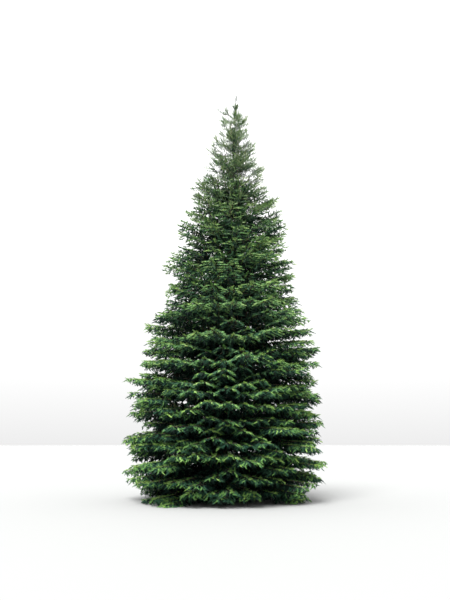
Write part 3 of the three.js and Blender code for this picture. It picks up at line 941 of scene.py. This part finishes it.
def joined_mesh(parts):
    """The points and triangles of several meshes as one, kept off the ground."""
    starts = np.cumsum([0] + [len(points) for points, _ in parts])
    points = np.concatenate([points for points, _ in parts])
    faces = np.concatenate([faces + start for (_, faces), start in zip(parts, starts)])
    points[:, 2] = np.maximum(points[:, 2], FINE_LOWEST)
    return points, faces


def across(way):
    """Two unit vectors square to each way and to one another."""
    side = np.cross(way, UP)
    side[np.linalg.norm(side, axis=-1) < LEAST_SIDE] = [1.0, 0.0, 0.0]
    side = unit(side)
    return side, np.cross(side, way)


def wall_faces(sides, gaps):
    """Triangles between rings of points in a row, and those that close the first."""
    faces = []
    for i in range(gaps):
        for k in range(sides):
            a, b = i * sides + k, i * sides + (k + 1) % sides
            faces += [[a, b, b + sides], [a, b + sides, a + sides]]
    return faces + [[0, k + 1, k] for k in range(1, sides - 1)]


def tubes(lines, radii, sides):
    """Closed tapering tubes along polylines (count, n, 3), each ending in a point."""
    count, n = radii.shape
    way = unit(np.gradient(lines, axis=1))
    side, lift = across(way[:, :-1])
    angle = 2 * np.pi * np.arange(sides) / sides
    ring = side[:, :, None] * np.cos(angle)[:, None] + lift[:, :, None] * np.sin(angle)[:, None]
    ring = lines[:, :-1, None] + ring * radii[:, :-1, None, None]
    points = np.concatenate([ring.reshape(count, -1, 3), lines[:, -1:]], axis=1)
    last = (n - 2) * sides
    faces = wall_faces(sides, n - 2)
    faces += [[last + k, last + (k + 1) % sides, last + sides] for k in range(sides)]
    faces = np.array(faces)[None] + (np.arange(count) * points.shape[1])[:, None, None]
    return points.reshape(-1, 3), faces.reshape(-1, 3)


def spray_tubes(row):
    """The bark of side sprays, thicker on long ones and near the tree's tip."""
    length = np.hypot(row["size"], row["hang"])
    lines = np.stack([spray_point(row, place) for place in SPRAY_PLACES], axis=1)
    thick = np.clip(length / SPRAY_FULL, *SPRAY_THICKNESS)
    thick = thick * in_height(SPRAY_THICKENING, row["base"][:, 2], 2)
    return tubes(lines, np.outer(thick, lerp(*SPRAY_RADIUS, np.array(SPRAY_PLACES))), SPRAY_SIDES)


def shoot_bodies(row, side, lift, scale):
    """The slim green body of each shoot, as two triangles."""
    base, way, length = row["base"], row["way"], row["length"]
    widest = base + way * (FIN_PLACE * length)[:, None] - lift * (FIN_DROP * scale)[:, None]
    wing = side * (FIN_WIDTH * scale)[:, None]
    points = np.stack([base, base + way * length[:, None], widest + wing, widest - wing], axis=1)
    faces = np.array([[0, 2, 1], [0, 1, 3]]) + points.shape[1] * np.arange(len(base))[:, None, None]
    return points.reshape(-1, 3), faces.reshape(-1, 3)


def needle_blades(row, side, lift, scale, number, rng):
    """The needles that stand out of each shoot, as single blades."""
    base, way, length = row["base"], row["way"], row["length"]
    size = (len(base), number)
    place = lerp(*NEEDLE_PLACES, (np.arange(number) + rng.uniform(0, 1, size)) / number)
    part = (NEEDLE_NEXT * np.arange(number) + rng.uniform(0, 1, (len(base), 1))) % 1.0
    turn = lerp(*NEEDLE_TURNS, part) + either_way(NEEDLE_TURN_OFF, size, rng)
    turn = np.radians(turn)[..., None]
    lean = lerp(*NEEDLE_ANGLE, place) + either_way(NEEDLE_ANGLE_OFF, size, rng)
    lean = np.radians(lean)[..., None]
    spread = side[:, None] * np.cos(turn) + lift[:, None] * np.sin(turn)
    out = way[:, None] * np.cos(lean) + spread * np.sin(lean)
    long = NEEDLE_LENGTH * scale[:, None] * rng.uniform(*NEEDLE_SHARE, size)
    long = long * (1 - NEEDLE_SHORTENING * place**3)
    foot = base[:, None] + way[:, None] * (length[:, None] * place)[..., None]
    square = unit(np.cross(out, spread) + rng.normal(0, NEEDLE_TWIST, (*size, 3)))
    square = unit(square - out * np.sum(square * out, axis=-1, keepdims=True))
    half = square * (NEEDLE_WIDTH * scale / 2)[:, None, None]
    points = np.stack([foot - half, foot + half, foot + out * long[..., None]], axis=2).reshape(-1, 3)
    return points, np.arange(len(points)).reshape(-1, 3)


def clothed(row, kind, rng):
    """The bodies and the needles of shoots of one kind."""
    side, lift = across(row["way"])
    scale = SCALE_OF[kind] * in_height(NEEDLE_SCALE, row["base"][:, 2], 2)
    return [
        shoot_bodies(row, side, lift, scale),
        needle_blades(row, side, lift, scale, NEEDLES_ON[kind], rng),
    ]


# Materials
def new_material(name, roughness, gloss):
    material = bpy.data.materials.new(name)
    material.use_nodes = True
    shader = material.node_tree.nodes["Principled BSDF"]
    shader.inputs["Roughness"].default_value = roughness
    shader.inputs["Specular IOR Level"].default_value = gloss
    return material, material.node_tree, shader


def new_node(tree, kind, **values):
    """A node with values on its own sockets."""
    node = tree.nodes.new(kind)
    for socket, value in values.items():
        node.inputs[socket].default_value = value
    return node


def colour_ramp(tree, places, colours):
    ramp = tree.nodes.new("ShaderNodeValToRGB")
    for stop, place, colour in zip(ramp.color_ramp.elements, places, colours):
        stop.position = place
        stop.color = (*colour, 1)
    return ramp


def needle_material(name, colour):
    """Needles of one green, a little lighter and darker from place to place."""
    material, tree, shader = new_material(name, NEEDLE_ROUGHNESS, NEEDLE_GLOSS)
    where = tree.nodes.new("ShaderNodeTexCoord")
    noise = new_node(tree, "ShaderNodeTexNoise", Scale=3.0, Detail=4.0, Roughness=0.65)
    sides = [[c * part for c, part in zip(colour, parts)] for parts in (COOL_SIDE, WARM_SIDE)]
    ramp = colour_ramp(tree, GREEN_RANGE, sides)
    tree.links.new(where.outputs["Object"], noise.inputs["Vector"])
    tree.links.new(noise.outputs["Fac"], ramp.inputs["Fac"])
    tree.links.new(ramp.outputs["Color"], shader.inputs["Base Color"])
    return material


def bark_pattern(tree, scale):
    """Plates parted by cracks, with a grain on them, as one height."""
    where = tree.nodes.new("ShaderNodeTexCoord")
    stretch = new_node(tree, "ShaderNodeMapping", Scale=(scale, scale, scale * BARK_STRETCH))
    plates = new_node(tree, "ShaderNodeTexVoronoi", Scale=1.0)
    plates.feature = "DISTANCE_TO_EDGE"
    grain = new_node(tree, "ShaderNodeTexNoise", Scale=2.4, Detail=6.0)
    both = tree.nodes.new("ShaderNodeMath")
    both.operation = "MULTIPLY_ADD"
    both.inputs[1].default_value = PLATE_WEIGHT
    tree.links.new(where.outputs["Object"], stretch.inputs["Vector"])
    for texture in (plates, grain):
        tree.links.new(stretch.outputs["Vector"], texture.inputs["Vector"])
    tree.links.new(plates.outputs["Distance"], both.inputs[0])
    tree.links.new(grain.outputs["Fac"], both.inputs[2])
    return both.outputs["Value"]


def bark_material(name, colours, scale, bump):
    """Scaly bark, darker in its cracks, with a bump that follows them."""
    material, tree, shader = new_material(name, BARK_ROUGHNESS, BARK_GLOSS)
    height = bark_pattern(tree, scale)
    ramp = colour_ramp(tree, BARK_RANGE, colours)
    relief = new_node(tree, "ShaderNodeBump", Strength=0.7, Distance=bump)
    tree.links.new(height, ramp.inputs["Fac"])
    tree.links.new(height, relief.inputs["Height"])
    tree.links.new(ramp.outputs["Color"], shader.inputs["Base Color"])
    tree.links.new(relief.outputs["Normal"], shader.inputs["Normal"])
    return material


# Pieces
def make_needles(row, tone, name, colour, nodes, rng):
    """The needles of one green as one piece."""
    parts = []
    for kind in (RIM, MIDDLE, INSIDE, HANGING, SLIM):
        mask = (row["tone"] == tone) & (row["kind"] == kind)
        if mask.any():
            parts += clothed(picked(row, mask), kind, rng)
    piece = mesh_piece(name, *joined_mesh(parts), needle_material(name, colour), "needles")
    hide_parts(*nodes)


def make_twigs(band, name, row, material, nodes):
    """The twigs and side sprays of one height band as one piece."""
    own = [(line, radii) for line, radii, where in twigs if where == band]
    parts = []
    for points in sorted({len(line) for line, _ in own}):
        lines, radii = zip(*[pair for pair in own if len(pair[0]) == points])
        parts.append(tubes(np.stack(lines), np.stack(radii), TWIG_SIDES))
    parts.append(spray_tubes(row))
    piece = mesh_piece(name, *joined_mesh(parts), material, "bark")
    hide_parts(*nodes)


def trunk_relief(z, angle, rng):
    """The relief of scaly bark, as a share of the trunk's radius."""
    bend = PLATE_WAVE_DEPTH * np.sin(z / PLATE_WAVE)
    upright = np.abs(np.sin(angle * PLATES_ROUND + bend)) ** PLATE_POWER
    shift = PLATE_SHIFT * np.sin(PLATE_SHIFTS * angle)
    level = np.abs(np.sin(z / PLATE_HEIGHT + shift)) ** PLATE_POWER
    grain = either_way(GRAIN_RELIEF, upright.shape, rng)
    return ((upright * level - PLATE_LEVEL) * RELIEF + grain) * np.clip(z / RELIEF_START, 0, 1)


def trunk_points():
    """The trunk's own surface, with the relief of bark on it."""
    z = (TRUNK_TOP * (np.arange(TRUNK_RINGS + 1) / TRUNK_RINGS) ** RING_CROWDING)[:, None]
    angle = 2 * np.pi * np.arange(TRUNK_SIDES) / TRUNK_SIDES
    flare = FLARE_RADIUS * np.exp(-z / FLARE_HEIGHT)
    plain = trunk_radius(z) + flare * (1 + FLARE_LOBE_DEPTH * np.cos(FLARE_LOBES * angle))
    r = plain * (1 + trunk_relief(z, angle, np.random.default_rng(TRUNK_SEED)))
    centre = np.stack([axis_at(float(v)) for v in z[:, 0]], axis=1)[..., None]
    return polar(centre, r, angle, z).reshape(-1, 3)


def make_trunk(material):
    """The trunk's bark, closed at the ground and at its tip."""
    last = TRUNK_RINGS * TRUNK_SIDES
    faces = wall_faces(TRUNK_SIDES, TRUNK_RINGS)
    faces += [[last, last + k, last + k + 1] for k in range(1, TRUNK_SIDES - 1)]
    trunk = mesh_piece("trunk_bark", trunk_points(), np.array(faces), material, "bark")
    trunk.data.shade_smooth()
    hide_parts("trunk")


def make_boughs(plans, material):
    """The boughs' bark, which ends a little past the knots of their masses."""
    boughs = [plan for plan in plans if plan["on_bough"]]
    places = np.linspace(0, 1, BOUGH_POINTS)
    lines = np.stack([limb_line(plan, places, BOUGH_PAST_KNOT) for plan in boughs])
    radii = np.stack([lerp(*BOUGH_RADIUS, places) for _ in boughs])
    piece = mesh_piece("bough_bark", *tubes(lines, radii, BOUGH_SIDES), material, "bark")
    piece.data.shade_smooth()
    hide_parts(*[f"bough_{p['tier'] + 1}_{p['place'] + 1}" for p in boughs])


def foliage_nodes(plans):
    """Names of the solid masses in each height band."""
    nodes_in = [[] for _ in BANDS]
    for plan in plans:
        nodes_in[band_of(plan["tier"])].append(f"foliage_{plan['tier'] + 1}_{plan['place'] + 1}")
    nodes_in[-1].append("foliage_top")
    return nodes_in


def grow_crown(plans):
    """The crown as a row of side sprays and one of shoots."""
    for plan in plans:
        grow_mass(plan)
    grow_top()
    rng = np.random.default_rng(SHARED_SEED)
    grow_on_trunk(rng)
    spray_row = joined(sprays)
    grow_spray_shoots(spray_row, rng)
    grow_spray_ends(spray_row, rng)
    shoot_row = joined(shoots)
    # Each shoot's tone follows from its light value: painted light and shade, partly also new growth and
    # older needles.
    shoot_row["tone"] = np.searchsorted(LIGHT_STEPS, shoot_row["light"])
    return spray_row, shoot_row, rng


def build():
    """Needles and twigs by height, the trunk and the boughs."""
    places = [(tier, place) for tier, count in enumerate(MASSES_IN_TIER) for place in range(count)]
    plans = [mass_plan(*place) for place in places]
    spray_row, shoot_row, rng = grow_crown(plans)
    bark = bark_material("bark", BARK_COLOURS, BARK_SCALE, BARK_BUMP)
    twig_bark = bark_material("twig_bark", TWIG_COLOURS, TWIG_BARK_SCALE, TWIG_BARK_BUMP)
    nodes_in = foliage_nodes(plans)
    for band, (height, greens) in enumerate(GREENS.items()):
        own = picked(shoot_row, shoot_row["band"] == band)
        for tone, (green, colour) in enumerate(greens.items()):
            make_needles(own, tone, f"needles_{green}_{height}", colour, nodes_in[band], rng)
        own = picked(spray_row, spray_row["band"] == band)
        make_twigs(band, f"twigs_{height}", own, twig_bark, nodes_in[band])
    make_trunk(bark)
    make_boughs(plans, bark)


# Studio
def make_floor():
    """A plain pale floor out to the horizon."""
    bpy.ops.mesh.primitive_circle_add(
        vertices=FLOOR_SIDES, radius=FLOOR_RADIUS, fill_type="NGON", location=(0, 0, 0))
    floor = bpy.context.object
    floor.name = "floor"
    material, _, shader = new_material("pale_floor", FLOOR_ROUGHNESS, FLOOR_GLOSS)
    shader.inputs["Base Color"].default_value = (*FLOOR_COLOUR, 1)
    floor.data.materials.append(material)


def make_sky():
    """A white dome of light, brightest from above."""
    world = bpy.data.worlds.new("studio")
    bpy.context.scene.world = world
    world.use_nodes = True
    tree = world.node_tree
    where = tree.nodes.new("ShaderNodeTexCoord")
    part = tree.nodes.new("ShaderNodeSeparateXYZ")
    ramp = colour_ramp(tree, [0.0, 1.0], [[grey] * 3 for grey in SKY])
    back = tree.nodes["Background"]
    back.inputs["Strength"].default_value = SKY_STRENGTH
    tree.links.new(where.outputs["Generated"], part.inputs["Vector"])
    tree.links.new(part.outputs["Z"], ramp.inputs["Fac"])
    tree.links.new(ramp.outputs["Color"], back.inputs["Color"])


def make_sun():
    """A wide soft light from above, a little in front and to the left."""
    sun = bpy.data.lights.new("overhead", "SUN")
    sun.energy = SUN_STRENGTH
    sun.angle = math.radians(SUN_WIDTH)
    lamp = new_object("overhead", sun)
    lamp.rotation_euler = [math.radians(tilt) for tilt in SUN_TILT]


def make_camera():
    """The view from eye height, tilted up to take in the whole tree."""
    lens = bpy.data.cameras.new("camera")
    lens.lens = LENS
    lens.sensor_width = SENSOR
    lens.clip_end = FARTHEST
    camera = new_object("camera", lens)
    camera.location = CAMERA_PLACE
    camera.rotation_euler = (math.radians(90 + CAMERA_RISE), 0, 0)
    bpy.context.scene.camera = camera


build()
make_floor()
make_sky()
make_sun()
make_camera()
bpy.context.scene.view_settings.view_transform = "Standard"
